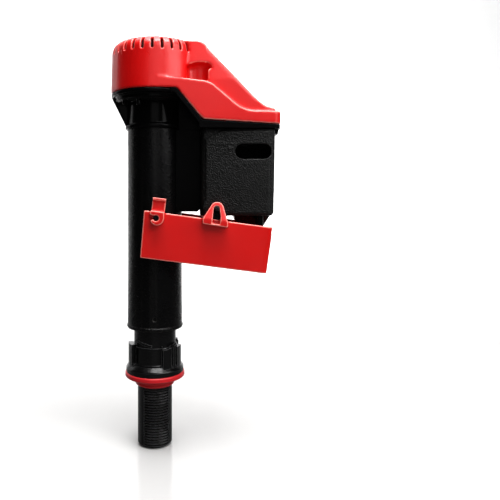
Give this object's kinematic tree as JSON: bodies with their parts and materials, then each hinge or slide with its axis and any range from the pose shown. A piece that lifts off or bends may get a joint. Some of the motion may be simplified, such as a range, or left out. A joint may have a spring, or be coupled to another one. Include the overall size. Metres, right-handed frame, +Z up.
{
  "type": "toilet fill valve",
  "caption": "Toilet tank fill valve with a threaded shank, a height-adjustable riser, a float chamber beside it, a vented cap and a swinging drain tray.",
  "frame": {"origin": "centre of the shank's inlet end", "axes": "+Z up along the shank and the tube, +X towards the float chamber, -Y towards the side with the level mark"},
  "size_m": [0.1152, 0.064, 0.2783],
  "materials": {
    "black_plastic": "moulded acetal, satin gloss",
    "textured_black": "moulded, fine spark-eroded grain",
    "red_plastic": "moulded, satin gloss",
    "red_rubber": "smooth moulded rubber",
    "black_rubber": "smooth moulded rubber",
    "grey_plastic": "natural moulded plastic",
    "white_plastic": "natural moulded acetal",
    "steel": "stainless"
  },
  "bodies": {
    "stem": {"shank_stem": "black_plastic", "shank_washer": "red_rubber", "inlet_screen": "white_plastic"},
    "lock": {"lock_ring": "grey_plastic"},
    "head": {"outer_tube": "black_plastic", "riser_pipe": "grey_plastic", "riser_seal": "black_rubber", "head_body": "black_plastic", "refill_nipple": "black_plastic", "diaphragm": "black_rubber", "diaphragm_plate": "white_plastic", "bonnet": "black_plastic", "bonnet_screws": "steel", "lever_pin": "steel", "float_chamber": "textured_black", "arm_frame": "black_plastic", "chamber_base": "black_plastic", "chamber_throat": "black_plastic"},
    "cap": {"cap_hood": "red_plastic"},
    "lever": {"float_lever": "grey_plastic", "pilot_pad": "black_rubber"},
    "trunnion": {"rod_trunnion": "white_plastic"},
    "screw": {"level_screw": "black_plastic"},
    "float": {"float_cup": "black_plastic", "float_nut": "white_plastic"},
    "tray": {"drain_tray": "red_plastic", "drain_pad": "black_rubber"}
  },
  "joints": [
    {"name": "height_slide", "type": "slide", "parent": "stem", "child": "lock", "axis": [0, 0, 1], "range_m": [-0.0105, 0.09]},
    {"name": "head_twist", "type": "hinge", "parent": "lock", "child": "head", "pos_m": [0, 0, 0.09], "axis": [0, 0, 1], "range_deg": [0, 60]},
    {"name": "cap_lift", "type": "slide", "parent": "head", "child": "cap", "axis": [0, 0, 1], "range_m": [0, 0.07]},
    {"name": "float_rise", "type": "slide", "parent": "head", "child": "trunnion", "axis": [0, 0, 1], "range_m": [0, 0.0056]},
    {"name": "lever_swing", "type": "hinge", "parent": "head", "child": "lever", "pos_m": [0.013, 0, 0.254], "axis": [0, -1, 0], "range_deg": [0, 5.8]},
    {"name": "adjuster_turn", "type": "hinge", "parent": "trunnion", "child": "screw", "pos_m": [0.071, 0, 0.215], "axis": [0, 0, 1], "range_deg": [-1095, 1095]},
    {"name": "float_level", "type": "slide", "parent": "trunnion", "child": "float", "axis": [0, 0, 1], "range_m": [-0.009, 0.009]},
    {"name": "tray_swing", "type": "hinge", "parent": "head", "child": "tray", "pos_m": [0.0025, 0, 0.1573], "axis": [0, -1, 0], "range_deg": [0, 7.4]}
  ],
  "couplings": [
    {"joint": "lever_swing", "follows": "float_rise", "rad_per_m": 17.7},
    {"joint": "adjuster_turn", "follows": "float_level", "rad_per_m": -2094.4}
  ]
}
